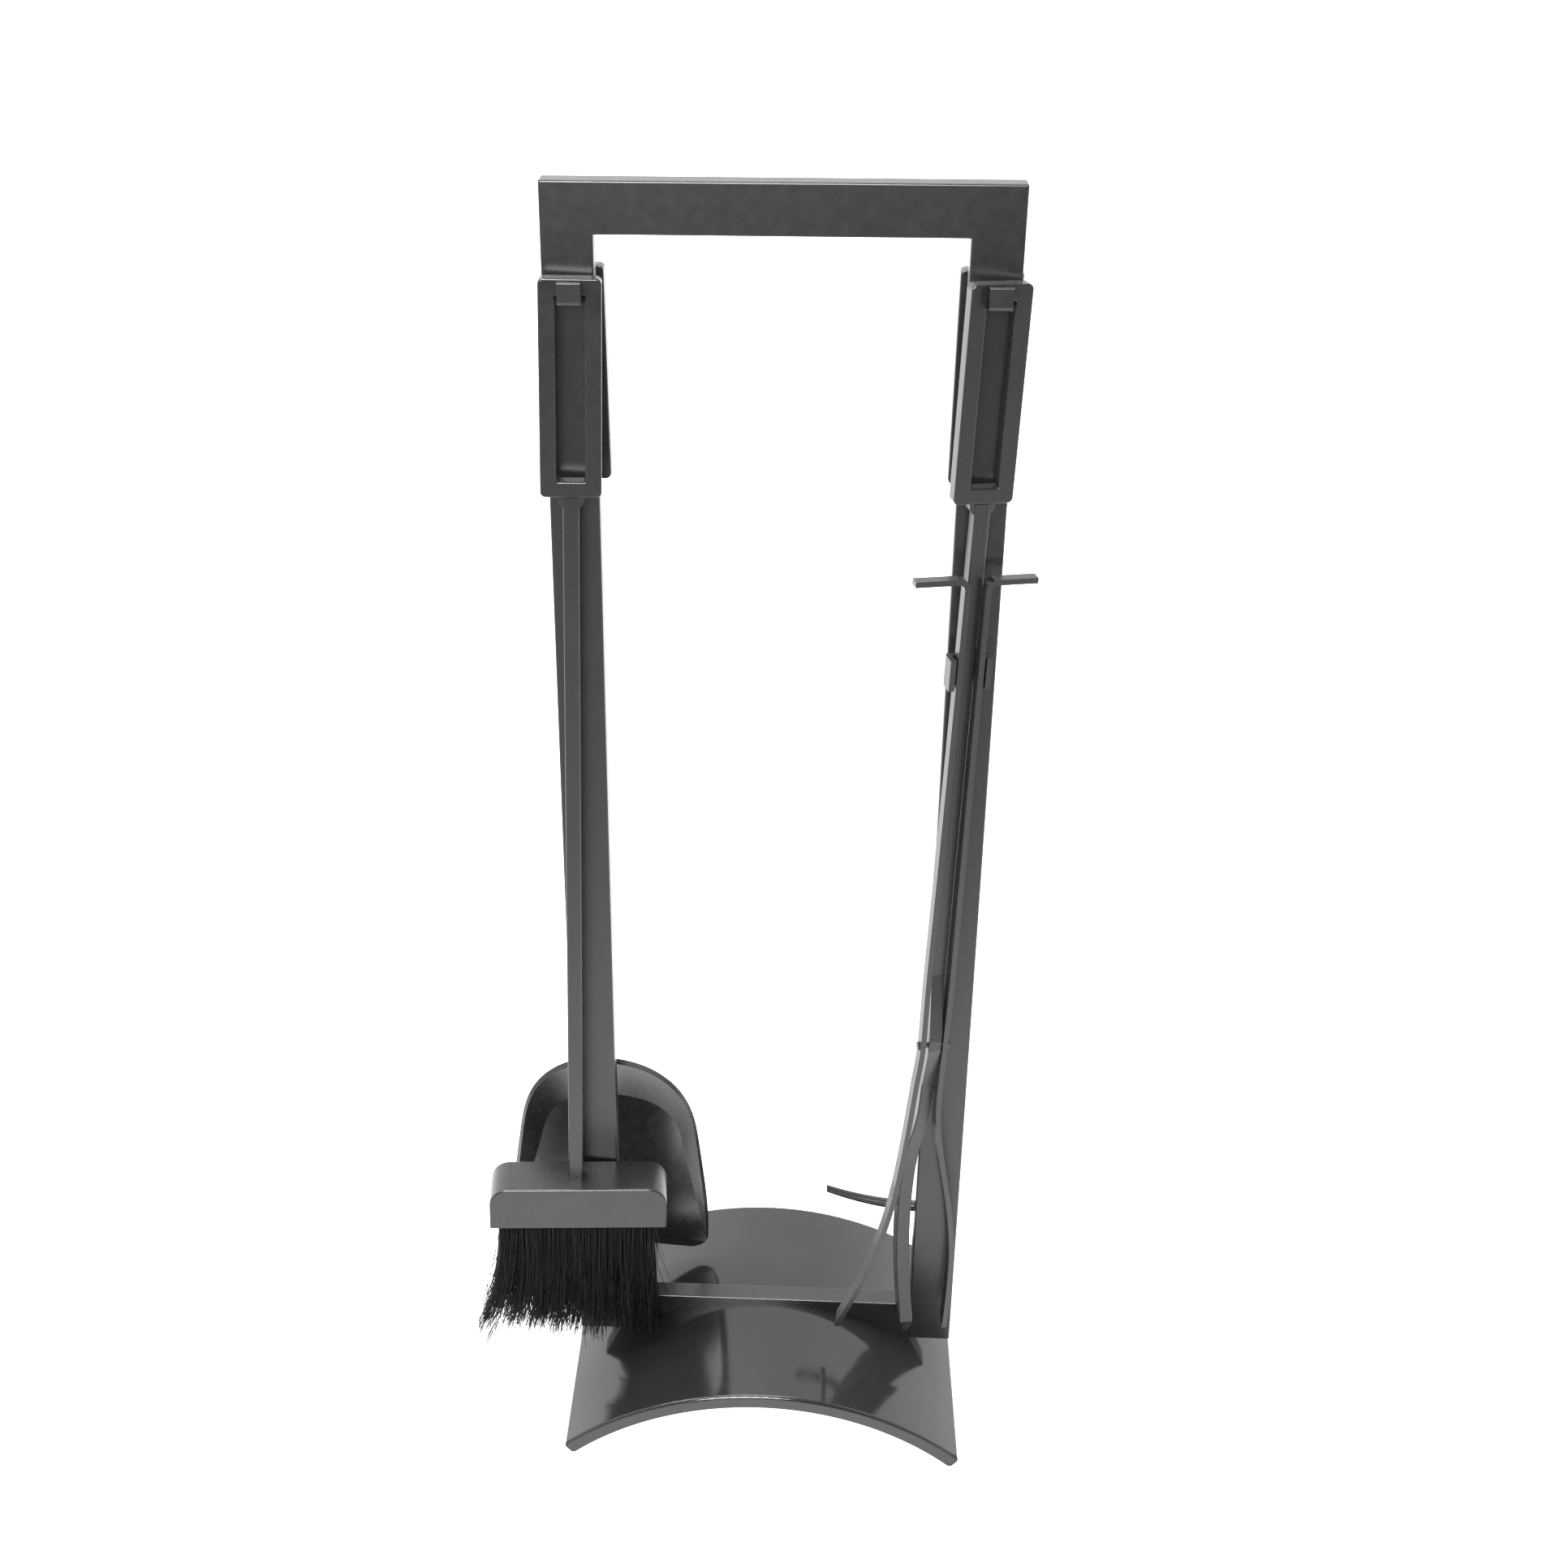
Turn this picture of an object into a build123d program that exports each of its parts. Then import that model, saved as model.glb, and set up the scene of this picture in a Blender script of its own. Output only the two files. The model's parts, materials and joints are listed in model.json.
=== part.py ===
from build123d import *
import math
import os

# Fireplace tool set: a flat-bar frame on an arched plate, with brush, tongs, shovel and poker.
# Millimetres. X runs along the frame, +Y to the back, +Z up.
# The origin lies on the floor below the middle of the whole set, tools included.

# the bar frame's own middle stands this far to +X of the origin
FRAME_MIDDLE_X = 16.5

# frame of flat bar
BAR_WIDE = 25.0
BAR_DEEP = 12.0
FRAME_WIDE = 225.0
FRAME_TOP = 717.0
UPRIGHT_FOOT = 24.6
CROSS_BAR_TOP = 51.0
BAR_EDGE = 1.0
CROSS_EDGE = 0.8

# arched base plate, a slice of a tube whose axis runs front to back
ARCH_OUTER = 175.15
PLATE_THICK = 8.0
ARCH_CENTRE_Z = -127.15
PLATE_DEEP = 165.0
ARCH_HALF_ANGLE = 41.0
PLATE_EDGE = 2.0

# two screws under the plate, driven along the arch radius into the cross bar
SCREW_ANGLE = 24.0
SCREW_SHANK_R = 3.0
SCREW_HOLE_R = 3.3
SCREW_GRIP = 9.0
SCREW_HEAD_R = 5.5
SCREW_HEAD_TALL = 3.6
SCREW_SEAT = 0.1
SOCKET_R = 2.3
SOCKET_DEEP = 2.2

# hooks, bent from strip
HOOK_WIDE = 11.0
HOOK_THICK = 3.0
HOOK_TOP = 666.0
HOOK_REACH = 20.0
HOOK_TIP_UP = 8.3
HOOK_BEND = 2.9
HOOK_EDGE = 0.5
HOOK_FRONT_X = (-97.5, 101.3)
HOOK_BACK_X = (-100.0, 99.0)
BEAD_DROP = 2.6
BEAD_OUT = 3.0
BEAD_WIDE = 8.0

# tool handles; every tool is drawn with z = 0 where its handle rests on the hook
HANDLE_WIDE = 30.0
HANDLE_RAIL = 8.0
HANDLE_DEEP = 8.0
HANDLE_TALL = 107.0
HANDLE_CORNER = 2.8
WINDOW_CORNER = 0.6
HANDLE_EDGE = 0.8
SHAFT = 8.0
SHAFT_EDGE = 0.8
FLARE_OUT = 2.6
FLARE_TALL = 5.5
FLARE_SAG = 0.87
FLARE_DEEP = 7.0
REST_GAP = 0.25

# where each tool hangs: x, y, lean about Y, tilt about X, turn about Z
BRUSH_HANGS = (-98.3, -13.5, 1.3, -0.93, 5.0)
TONGS_HANGS = (101.3, -14.5, 1.62, 0.0, 14.5)
SHOVEL_HANGS = (-99.3, 13.5, -0.8, 0.0, -2.0)
POKER_HANGS = (99.5, 13.0, 0.4, 0.0, 2.0)

# brush
BRUSH_HEAD_X = 1.5
BRUSH_HEAD_TOP = -512.6
BRUSH_HEAD_WIDE = 102.0
BRUSH_HEAD_TALL = 27.0
BRUSH_HEAD_DEEP = 27.0
BRUSH_HEAD_CORNER = 11.0
BRUSH_SKIN = 2.0
BRUSH_LIP = 3.0
BRUSH_RIM_EDGE = 1.2
BLOCK_GAP = 0.05
BRISTLE_LEFT_TOP = -46.0
BRISTLE_LEFT_END = -51.0
BRISTLE_RIGHT = 44.0
BRISTLE_END = -624.5
BRISTLE_DEEP_TOP = 19.0
BRISTLE_DEEP_END = 24.0

# shovel pan: half outlines as (half width, height) of the front rim and of the floor
PAN_RIM = [
    (61.3, -614.0),
    (61.2, -591.0),
    (59.6, -566.0),
    (56.8, -542.0),
    (53.8, -518.0),
    (48.0, -490.0),
    (37.0, -471.0),
    (20.0, -458.8),
]
PAN_FLOOR = [
    (60.8, -614.0),
    (57.8, -594.0),
    (52.5, -574.0),
    (47.5, -554.0),
    (43.5, -536.0),
    (40.0, -522.0),
    (33.0, -511.0),
    (19.0, -503.0),
]
PAN_RIM_TOP = -455.0
PAN_FLOOR_TOP = -500.5
PAN_ASKEW = 3.0
PAN_RIM_TOP_Y = 0.5
PAN_RIM_LIP_Y = 27.1
PAN_FLOOR_Y = 28.1
PAN_SKIN = 2.0
PAN_LIP_CORNER = 12.0
PAN_BEAD = 3.0
PAN_BACK_NEAR = -8.0
PAN_BACK_FAR = 24.0

# poker
POKER_TIP = -608.0
POKER_TAPER = 16.0
POKER_TIP_WIDE = 3.0
PRONG_Z = -555.8
PRONG_REACH = 56.0
PRONG_RISE = 10.0
PRONG_BACK = 3.0
PRONG_ROOT_R = 3.3
PRONG_TIP_R = 2.2
PRONG_SHARES = (0.0, 0.25, 0.5, 0.75, 1.0)
PRONG_BEAD_LONG = 2.0

# tongs: a shaft whose foot bows back, and a two-legged fork hinged in front of it
LEG_BOW = [
    (-424.0, 0.0, 0.0),
    (-446.0, 0.0, 0.0),
    (-458.0, -0.2, 0.5),
    (-470.0, -0.7, 1.9),
    (-480.0, -1.6, 3.8),
    (-491.0, -2.7, 6.0),
    (-502.0, -3.3, 7.9),
    (-514.0, -3.6, 9.2),
    (-528.0, -3.7, 10.0),
    (-545.0, -3.6, 10.0),
    (-568.0, -3.0, 8.6),
    (-590.0, -1.9, 5.5),
    (-606.0, -0.8, 2.6),
    (-618.0, 0.1, 0.0),
]
LEG_TOP = -418.0
LEG_TIP = (-626.0, 0.5, -1.0)
LEG_TIP_WIDE = 3.4
STRIP_THICK = 3.0
STRIP_FRONT = -10.9
STRIP_BACK = -4.9
LEFT_ARM = [
    (-6.2, -141.0),
    (-6.2, -151.0),
    (-6.4, -201.0),
    (-6.8, -271.0),
    (-7.4, -341.0),
    (-7.6, -393.0),
    (-7.5, -413.0),
    (-8.0, -423.0),
    (-9.2, -436.0),
    (-10.6, -455.0),
    (-12.4, -478.0),
    (-14.8, -503.0),
    (-18.0, -526.0),
    (-23.0, -549.0),
    (-30.0, -572.0),
    (-40.2, -596.0),
    (-45.5, -607.5),
]
RIGHT_ARM = [
    (4.7, -142.0),
    (4.7, -151.0),
    (4.9, -201.0),
    (5.2, -271.0),
    (5.6, -341.0),
    (5.7, -379.0),
    (5.2, -413.0),
    (4.8, -437.0),
    (4.8, -455.0),
    (6.0, -470.0),
    (8.9, -488.0),
    (12.7, -507.0),
    (16.4, -525.0),
    (19.5, -544.0),
    (21.4, -561.0),
    (22.1, -579.0),
    (22.2, -597.0),
    (21.6, -619.5),
]
TAB_BEND = 4.5
LEFT_TAB_END = -33.1
RIGHT_TAB_END = 29.8
TIP_SLANT = 7.0
RIVET_Z = -413.0
RIVET_Y = -8.0
RIVET_R = 1.5
RIVET_BORE_R = 1.55
RIVET_HEAD_R = 2.3
RIVET_HEAD_THICK = 1.3
RIVET_HEAD_GAP = 0.05
LUG_LEFT = -4.0
LUG_RIGHT = 3.2
LUG_TALL = 6.0
LUG_FRONT = -10.2
LUG_RAMP_UP = 40.0
LUG_RAMP_DOWN = 28.0
LUG_EDGE = 0.6
GUIDE_TOP = -178.5
GUIDE_TALL = 16.5
GUIDE_THICK = 3.0
GUIDE_GAP = 0.5
GUIDE_FRONT = -11.4
GUIDE_BACK = -0.9
GUIDE_BEAD = 2.0
GUIDE_BEND = 2.0
GUIDE_REACH_Z = -280.0

# picks edges and faces that lie this close to a known place
NEAR = 0.3

half_frame = FRAME_WIDE / 2
half_bar = BAR_DEEP / 2
window_half = half_frame - BAR_WIDE
arch_inner = ARCH_OUTER - PLATE_THICK
handle_top = HANDLE_RAIL
handle_bottom = HANDLE_RAIL - HANDLE_TALL
window_tall = HANDLE_TALL - 2 * HANDLE_RAIL
big = 2000.0


def slab(x0, x1, y0, y1, z0, z1):
    """A plain block between two corners."""
    block = Box(x1 - x0, y1 - y0, z1 - z0)
    return Pos((x0 + x1) / 2, (y0 + y1) / 2, (z0 + z1) / 2) * block


def upright_prism(outline, y0, y1):
    """Extrude an outline drawn as (x, z) from y0 to y1."""
    face = Plane.XZ * outline
    return Pos(0, y1, 0) * extrude(face, y1 - y0, dir=(0, -1, 0))


def side_prism(points, x0, x1):
    """Extrude a closed outline given as (y, z) from x0 to x1."""
    face = Plane.YZ * make_face(Polyline(*points, close=True))
    return Pos(x0, 0, 0) * extrude(face, x1 - x0, dir=(1, 0, 0))


def together(shapes):
    """One shape that holds several separate solids."""
    whole = shapes[0]
    for shape in shapes[1:]:
        whole = whole + shape
    return whole


def hang(shape, place):
    """Move a tool from its own axes to the place where it hangs."""
    x, y, lean, tilt, turn = place
    spot = Pos(x, y, HOOK_TOP + REST_GAP)
    return spot * Rot(0, lean, 0) * Rot(tilt, 0, 0) * Rot(0, 0, turn) * shape


def arch_disc(radius):
    """A disc about the arch centre, as a prism running front to back."""
    outline = Pos(0, ARCH_CENTRE_Z) * Circle(radius)
    return upright_prism(outline, -PLATE_DEEP / 2, PLATE_DEEP / 2)


def base_screw_parts(angle):
    """Screw and clearance hole along the arch radius at one angle."""
    turn = Pos(0, 0, ARCH_CENTRE_Z) * Rot(0, angle, 0)
    shank_long = PLATE_THICK + SCREW_GRIP + SCREW_SEAT
    shank = Pos(0, 0, arch_inner - SCREW_SEAT + shank_long / 2) * Cylinder(SCREW_SHANK_R, shank_long)
    head_bottom = arch_inner - SCREW_SEAT - SCREW_HEAD_TALL
    head = Pos(0, 0, head_bottom + SCREW_HEAD_TALL / 2) * Cylinder(SCREW_HEAD_R, SCREW_HEAD_TALL)
    hexagon = Pos(0, 0, head_bottom) * RegularPolygon(SOCKET_R, 6)
    socket = extrude(hexagon, SOCKET_DEEP)
    screw = shank + head - socket
    hole = Pos(0, 0, arch_inner + PLATE_THICK / 2) * Cylinder(SCREW_HOLE_R, PLATE_THICK * 2)
    bore = Pos(0, 0, ARCH_OUTER) * Cylinder(SCREW_SHANK_R, 2 * SCREW_GRIP)
    return turn * screw, turn * hole, turn * bore


def base_plate():
    """Arched plate with narrow flat lands at both ends where it stands on the floor."""
    start = 90 - ARCH_HALF_ANGLE
    reach = 2 * ARCH_OUTER
    left = (-reach * math.cos(math.radians(start)), reach * math.sin(math.radians(start)))
    right = (-left[0], left[1])
    wedge_outline = Pos(0, ARCH_CENTRE_Z) * make_face(Polyline((0, 0), right, left, close=True))
    wedge = upright_prism(wedge_outline, -PLATE_DEEP / 2, PLATE_DEEP / 2)
    plate = (arch_disc(ARCH_OUTER) - arch_disc(arch_inner)) & wedge
    plate = plate.solids()[0]
    upper = [e for e in plate.edges() if touches_upper_skin(e)]
    plate = fillet(upper, PLATE_EDGE)
    plate = plate & slab(-big, big, -big, big, 0, big)
    for angle in (-SCREW_ANGLE, SCREW_ANGLE):
        plate = plate - base_screw_parts(angle)[1]
    return plate


def touches_upper_skin(edge):
    """True for the edges that bound the upper skin of the arched plate."""
    spot = edge.position_at(0.5)
    radius = math.hypot(spot.X, spot.Z - ARCH_CENTRE_Z)
    return radius > ARCH_OUTER - NEAR


def bar_frame():
    """Uprights and top bar as one bar frame, later cut at the underside of the top bar."""
    outer = slab(-half_frame, half_frame, -half_bar, half_bar, UPRIGHT_FOOT, FRAME_TOP)
    inner = slab(-window_half, window_half, -big, big, -big, FRAME_TOP - BAR_WIDE)
    frame = (outer - inner).solids()[0]
    kept = [e for e in frame.edges() if e.center().Z > UPRIGHT_FOOT + NEAR]
    kept = [e for e in kept if not is_inner_corner(e)]
    return fillet(kept, BAR_EDGE)


def is_inner_corner(edge):
    """True for the two edges where an upright meets the underside of the top bar."""
    spot = edge.center()
    level = abs(spot.Z - (FRAME_TOP - BAR_WIDE)) < NEAR
    return level and abs(abs(spot.X) - window_half) < NEAR


def frame_pieces():
    """Left upright, right upright and top bar."""
    frame = bar_frame()
    split_z = FRAME_TOP - BAR_WIDE
    top = frame & slab(-big, big, -big, big, split_z, big)
    left = frame & slab(-big, 0, -big, big, 0, split_z)
    right = frame & slab(0, big, -big, big, 0, split_z)
    return left, right, top


def cross_bar():
    """Bar between the uprights, its underside cut to the arch."""
    bar = slab(-window_half, window_half, -half_bar, half_bar, 0, CROSS_BAR_TOP)
    long_edges = bar.edges().filter_by(Axis.X).group_by(Axis.Z)[-1]
    bar = fillet(long_edges, CROSS_EDGE)
    bar = bar - arch_disc(ARCH_OUTER)
    for angle in (-SCREW_ANGLE, SCREW_ANGLE):
        bar = bar - base_screw_parts(angle)[2]
    return bar


def hook(x, side):
    """One hook; side is -1 on the front face of the upright and +1 on the back face."""
    wall = half_bar
    far = half_bar + HOOK_REACH
    low = HOOK_TOP - HOOK_THICK
    high = HOOK_TOP + HOOK_TIP_UP
    inside = far - HOOK_THICK
    outer = [(wall, low), (far, low), (far, high)]
    inner = [(inside, high), (inside, HOOK_TOP), (wall, HOOK_TOP)]
    shape = side_prism(outer + inner, -HOOK_WIDE / 2, HOOK_WIDE / 2)
    along = shape.edges().filter_by(Axis.X)
    bend = [e for e in along if e.center().Z < low + NEAR and e.center().Y > inside]
    shape = fillet(bend, HOOK_BEND)
    tip = [e for e in shape.edges() if e.center().Z > high - HOOK_EDGE]
    shape = fillet(tip, HOOK_EDGE)
    if side < 0:
        shape = Rot(0, 0, 180) * shape
    return Pos(x, 0, 0) * shape


def hook_bead(x, side):
    """Weld bead in the corner under one hook."""
    wall = half_bar
    low = HOOK_TOP - HOOK_THICK
    points = [(wall, low), (wall + BEAD_OUT, low), (wall, low - BEAD_DROP)]
    shape = side_prism(points, -BEAD_WIDE / 2, BEAD_WIDE / 2)
    if side < 0:
        shape = Rot(0, 0, 180) * shape
    return Pos(x, 0, 0) * shape


def handle():
    """Rectangular loop handle shared by all four tools."""
    middle = (handle_top + handle_bottom) / 2
    outline = Pos(0, middle) * RectangleRounded(HANDLE_WIDE, HANDLE_TALL, HANDLE_CORNER)
    window_wide = HANDLE_WIDE - 2 * HANDLE_RAIL
    window = Pos(0, middle) * RectangleRounded(window_wide, window_tall, WINDOW_CORNER)
    loop = upright_prism(outline - window, -HANDLE_DEEP / 2, HANDLE_DEEP / 2)
    face_edges = [e for e in loop.edges() if abs(abs(e.center().Y) - HANDLE_DEEP / 2) < NEAR]
    return fillet(face_edges, HANDLE_EDGE)


def handle_bead():
    """Hollow weld flares on both sides of a shaft just under its handle."""
    root = SHAFT / 2
    top = handle_bottom
    tip = top - FLARE_TALL
    side = Line((root, tip), (root, top))
    lid = Line((root, top), (root + FLARE_OUT, top))
    curve = SagittaArc((root + FLARE_OUT, top), (root, tip), FLARE_SAG)
    outline = make_face([side, lid, curve])
    right = upright_prism(outline, -FLARE_DEEP / 2, FLARE_DEEP / 2)
    return right + mirror(right, Plane.YZ)


def straight_shaft(bottom):
    """Square bar with rounded corners from the handle down to the given height."""
    section = Pos(0, 0, bottom) * RectangleRounded(SHAFT, SHAFT, SHAFT_EDGE)
    return extrude(section, handle_bottom - bottom, dir=(0, 0, 1))


def brush_shell():
    """Sheet cap of the brush, open below, with rounded shoulders."""
    low = BRUSH_HEAD_TOP - BRUSH_HEAD_TALL
    half = BRUSH_HEAD_WIDE / 2
    deep = BRUSH_HEAD_DEEP / 2
    cap = slab(-half, half, -deep, deep, low, BRUSH_HEAD_TOP)
    shoulders = cap.edges().filter_by(Axis.Y).group_by(Axis.Z)[-1]
    cap = fillet(shoulders, BRUSH_HEAD_CORNER)
    rims = [e for e in cap.edges() if abs(abs(e.center().Y) - deep) < NEAR]
    rims = [e for e in rims if e.center().Z > low + BRUSH_LIP]
    cap = fillet(rims, BRUSH_RIM_EDGE)
    return Pos(BRUSH_HEAD_X, 0, 0) * (cap - block_shape(0.0))


def block_shape(gap):
    """The space inside the cap, drawn in by the given gap."""
    low = BRUSH_HEAD_TOP - BRUSH_HEAD_TALL
    half = BRUSH_HEAD_WIDE / 2 - BRUSH_SKIN - gap
    deep = BRUSH_HEAD_DEEP / 2 - BRUSH_SKIN - gap
    top = BRUSH_HEAD_TOP - BRUSH_SKIN
    bottom = low + (BRUSH_LIP if gap else -BRUSH_LIP)
    block = slab(-half, half, -deep, deep, bottom, top)
    shoulders = block.edges().filter_by(Axis.Y).group_by(Axis.Z)[-1]
    return fillet(shoulders, BRUSH_HEAD_CORNER - BRUSH_SKIN)


def brush_block():
    """Block that holds the bristles inside the cap."""
    return Pos(BRUSH_HEAD_X, 0, 0) * block_shape(BLOCK_GAP)


def bristles():
    """Bristle bundle, spreading a little towards its free end."""
    top = BRUSH_HEAD_TOP - BRUSH_HEAD_TALL + BRUSH_LIP
    wide_top = BRISTLE_RIGHT - BRISTLE_LEFT_TOP
    wide_end = BRISTLE_RIGHT - BRISTLE_LEFT_END
    x_top = (BRISTLE_RIGHT + BRISTLE_LEFT_TOP) / 2
    x_end = (BRISTLE_RIGHT + BRISTLE_LEFT_END) / 2
    upper = Pos(x_top, 0, top) * Rectangle(wide_top, BRISTLE_DEEP_TOP)
    lower = Pos(x_end, 0, BRISTLE_END) * Rectangle(wide_end, BRISTLE_DEEP_END)
    return Pos(BRUSH_HEAD_X, 0, 0) * loft([upper, lower], ruled=True)


def pan_outline(half_outline, top, y_low, y_top):
    """Closed pan outline in a plane that leans from y_low at the lip to y_top at the top."""
    low = half_outline[0][1]
    slope = (y_top - y_low) / (top - low)
    right = [(x, y_low + (z - low) * slope, z) for x, z in half_outline]
    left = [(-x, y, z) for x, y, z in reversed(right)]
    curve = Spline(*right, (0, y_top, top), *left)
    foot = Line(left[-1], right[0])
    return make_face([curve, foot])


def askew(shape):
    """Turn a piece of the pan about the top of its rim, where it sits a little crooked on the shaft."""
    return Pos(0, 0, PAN_RIM_TOP) * Rot(0, PAN_ASKEW, 0) * Pos(0, 0, -PAN_RIM_TOP) * shape


def pan_body():
    """Solid block between the pan floor and its leaning front rim."""
    floor = pan_outline(PAN_FLOOR, PAN_FLOOR_TOP, PAN_FLOOR_Y, PAN_FLOOR_Y)
    rim = pan_outline(PAN_RIM, PAN_RIM_TOP, PAN_RIM_LIP_Y, PAN_RIM_TOP_Y)
    return loft([floor, rim], ruled=True)


def shovel_pan():
    """Thin dished pan, deepest under the shaft and running out flat at the lip."""
    shell = pan_body() - Pos(0, -PAN_SKIN, 0) * pan_body()
    half, lip = PAN_RIM[0]
    prism = slab(-half, half, -big, big, lip, lip + big)
    corners = prism.edges().filter_by(Axis.Y).group_by(Axis.Z)[0]
    shell = shell & fillet(corners, PAN_LIP_CORNER)
    return askew(shell.solids().sort_by(SortBy.VOLUME)[-1])


def pan_back_line(y):
    """Height of the sloping back wall of the pan, on its outside, at one depth."""
    slope = (PAN_RIM_TOP - PAN_FLOOR_TOP) / (PAN_FLOOR_Y - PAN_RIM_TOP_Y)
    return PAN_RIM_TOP - (y - PAN_RIM_TOP_Y) * slope


def below_pan_back():
    """Everything under the sloping back wall of the pan."""
    near = PAN_BACK_NEAR
    far = PAN_BACK_FAR
    low = PAN_FLOOR_TOP - far
    points = [(near, pan_back_line(near)), (far, pan_back_line(far)), (far, low), (near, low)]
    return askew(side_prism(points, -big, big))


def shovel_shaft():
    """Shaft of the shovel, its foot cut to lie on the back wall of the pan."""
    return straight_shaft(pan_back_line(SHAFT)) - below_pan_back() - askew(pan_body())


def pan_bead():
    """Weld bead behind the foot of the shovel shaft."""
    back = SHAFT / 2
    foot = pan_back_line(back)
    far = back + PAN_BEAD
    points = [(back, foot - PAN_BEAD), (back, foot + PAN_BEAD), (far, pan_back_line(far) - PAN_BEAD)]
    bead = side_prism(points, -SHAFT / 2, SHAFT / 2)
    return bead - below_pan_back() - askew(pan_body())


def poker_shaft():
    """Square poker bar ending in a short point."""
    body = straight_shaft(POKER_TIP + POKER_TAPER)
    root = Pos(0, 0, POKER_TIP + POKER_TAPER) * RectangleRounded(SHAFT, SHAFT, SHAFT_EDGE)
    tip_edge = SHAFT_EDGE * POKER_TIP_WIDE / SHAFT
    tip = Pos(0, 0, POKER_TIP) * RectangleRounded(POKER_TIP_WIDE, POKER_TIP_WIDE, tip_edge)
    return body + loft([root, tip])


def poker_prong():
    """Tapered side prong of the poker, rising a little towards its blunt end."""
    root_x = -SHAFT / 2
    sections = []
    for share in PRONG_SHARES:
        x = root_x - PRONG_REACH * share
        z = PRONG_Z + PRONG_RISE * share * share
        y = PRONG_BACK * share
        radius = PRONG_ROOT_R + (PRONG_TIP_R - PRONG_ROOT_R) * share
        sections.append(Pos(x, y, z) * (Plane.YZ * Circle(radius)))
    return loft(sections)


def prong_bead():
    """Weld ring where the side prong meets the poker."""
    root_x = -SHAFT / 2
    outer = Pos(root_x, 0, PRONG_Z) * (Plane.YZ * Circle(SHAFT / 2 - SHAFT_EDGE / 2))
    inner = Pos(root_x - PRONG_BEAD_LONG, 0, PRONG_Z) * (Plane.YZ * Circle(PRONG_ROOT_R))
    return loft([outer, inner], ruled=True) - poker_prong()


def bent_leg():
    """Lower leg of the tongs shaft, bowed back and ending in a small point."""
    sections = [Pos(0, 0, LEG_TOP) * RectangleRounded(SHAFT, SHAFT, SHAFT_EDGE)]
    for z, x, y in LEG_BOW:
        sections.append(Pos(x, y, z) * RectangleRounded(SHAFT, SHAFT, SHAFT_EDGE))
    leg = loft(sections)
    z, x, y = LEG_BOW[-1]
    root = Pos(x, y, z) * RectangleRounded(SHAFT, SHAFT, SHAFT_EDGE)
    tip_edge = SHAFT_EDGE * LEG_TIP_WIDE / SHAFT
    z, x, y = LEG_TIP
    tip = Pos(x, y, z) * RectangleRounded(LEG_TIP_WIDE, LEG_TIP_WIDE, tip_edge)
    return leg + loft([root, tip])


def tongs_shaft():
    """Straight upper shaft of the tongs joined to its bowed leg."""
    return straight_shaft(LEG_TOP) + bent_leg()


def side_points(points, distance):
    """Shift a line of points sideways by a distance, square to its local direction."""
    shifted = []
    last = len(points) - 1
    for i in range(last + 1):
        ahead = points[min(i + 1, last)]
        behind = points[max(i - 1, 0)]
        dx = ahead[0] - behind[0]
        dz = ahead[1] - behind[1]
        length = math.hypot(dx, dz)
        shifted.append((points[i][0] - dz / length * distance, points[i][1] + dx / length * distance))
    return shifted


def fork_arm(points, tab_end):
    """One strip of the fork: thumb tab, bend, long arm and curved prong with a slanted tip."""
    half = STRIP_THICK / 2
    one = side_points(points, half)
    other = side_points(points, -half)
    outline = make_face([Spline(*one), Line(one[-1], other[-1]), Spline(*other), Line(other[0], one[0])])
    strip = upright_prism(outline, STRIP_FRONT, STRIP_BACK)
    x, z = points[0]
    side = 1 if tab_end > x else -1
    start = x + side * TAB_BEND
    level = z + TAB_BEND
    reach = TAB_BEND + half
    ring = Circle(reach) - Circle(TAB_BEND - half)
    corner = Pos(-side * reach / 2, reach / 2) * Rectangle(reach, reach)
    bend = upright_prism(Pos(start, z) * (ring & corner), STRIP_FRONT, STRIP_BACK)
    near = min(start, tab_end)
    far = max(start, tab_end)
    tab = slab(near, far, STRIP_FRONT, STRIP_BACK, level - half, level + half)
    arm = strip + bend + tab
    tip = min(one[-1][1], other[-1][1])
    below = tip - SHAFT
    wedge = [(STRIP_FRONT, tip), (STRIP_BACK, tip + TIP_SLANT), (STRIP_BACK, below), (STRIP_FRONT, below)]
    arm = arm - side_prism(wedge, -big, big)
    bore = Pos(x, RIVET_Y, RIVET_Z) * Rot(0, 90, 0) * Cylinder(RIVET_BORE_R, HANDLE_WIDE)
    return arm - bore


def rivet():
    """Rivet through both fork strips and the lug, with a round head on each side."""
    left = arm_face(LEFT_ARM, -1) - RIVET_HEAD_GAP
    right = arm_face(RIGHT_ARM, 1) + RIVET_HEAD_GAP
    long = right - left
    pin = Pos((left + right) / 2, 0, 0) * (Rot(0, 90, 0) * Cylinder(RIVET_R, long))
    shape = pin
    for x in (left - RIVET_HEAD_THICK / 2, right + RIVET_HEAD_THICK / 2):
        head = Rot(0, 90, 0) * Cylinder(RIVET_HEAD_R, RIVET_HEAD_THICK)
        shape = shape + Pos(x, 0, 0) * head
    return Pos(0, RIVET_Y, RIVET_Z) * shape


def arm_face(points, side):
    """Where the outer face of a strip lies at the rivet."""
    at_rivet = [x for x, z in points if z == RIVET_Z]
    return at_rivet[0] + side * STRIP_THICK / 2


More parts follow.
